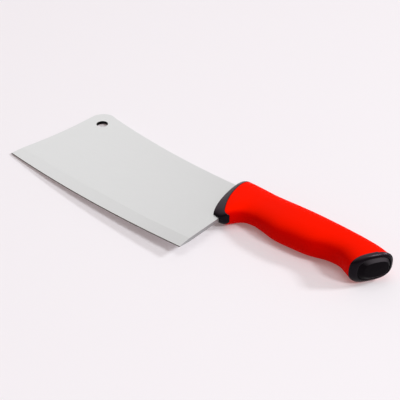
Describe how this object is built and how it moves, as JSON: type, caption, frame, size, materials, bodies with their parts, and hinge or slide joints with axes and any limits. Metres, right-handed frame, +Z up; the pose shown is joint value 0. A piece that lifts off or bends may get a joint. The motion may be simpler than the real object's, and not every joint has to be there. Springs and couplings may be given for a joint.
{
  "type": "meat cleaver",
  "caption": "Butcher's meat cleaver: wide plate blade with a hanging hole and hidden tang, in a moulded handle with a hard collar and butt and a soft grip.",
  "frame": {"origin": "on the table plane the cleaver lies on, under the middle of its box", "axes": "+X from the blade to the butt of the handle, +Y from the cutting edge to the back, +Z up from the table"},
  "size_m": [0.3152, 0.1012, 0.0263],
  "materials": {
    "blade": "satin stainless steel, fine grain along the blade, ground edge",
    "handle_core": "black hard plastic, satin, very fine moulded texture",
    "grip": "bright red soft plastic, satin, very fine moulded texture",
    "butt_plug": "black plastic, smoother than the rim around it"
  },
  "bodies": {
    "root": {"blade": "blade", "handle_core": "handle_core", "grip": "grip", "butt_plug": "butt_plug"}
  },
  "joints": []
}
